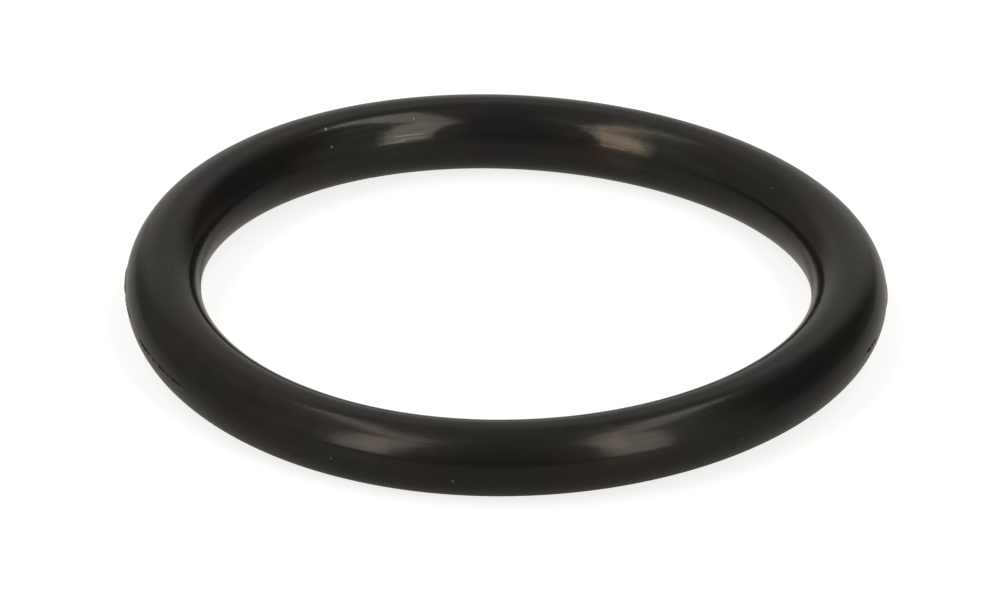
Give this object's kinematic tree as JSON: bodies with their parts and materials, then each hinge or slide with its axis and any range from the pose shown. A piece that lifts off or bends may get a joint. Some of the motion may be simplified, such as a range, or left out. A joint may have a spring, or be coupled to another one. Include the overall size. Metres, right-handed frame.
{
  "type": "o-ring",
  "caption": "Moulded black rubber O-ring of round section with a fine mould parting line, lying flat; seals a shaft, bore or flange joint.",
  "frame": {"origin": "the ring's centre, at mid height", "axes": "+Z along the ring's axis, up as it lies; +X to the right and +Y away from the viewer in the picture"},
  "size_m": [0.0304, 0.0304, 0.0034],
  "materials": {
    "rubber": "satin black moulded nitrile rubber, faint mould grain, a little dust"
  },
  "bodies": {
    "root": {"o_ring": "rubber"}
  },
  "joints": []
}
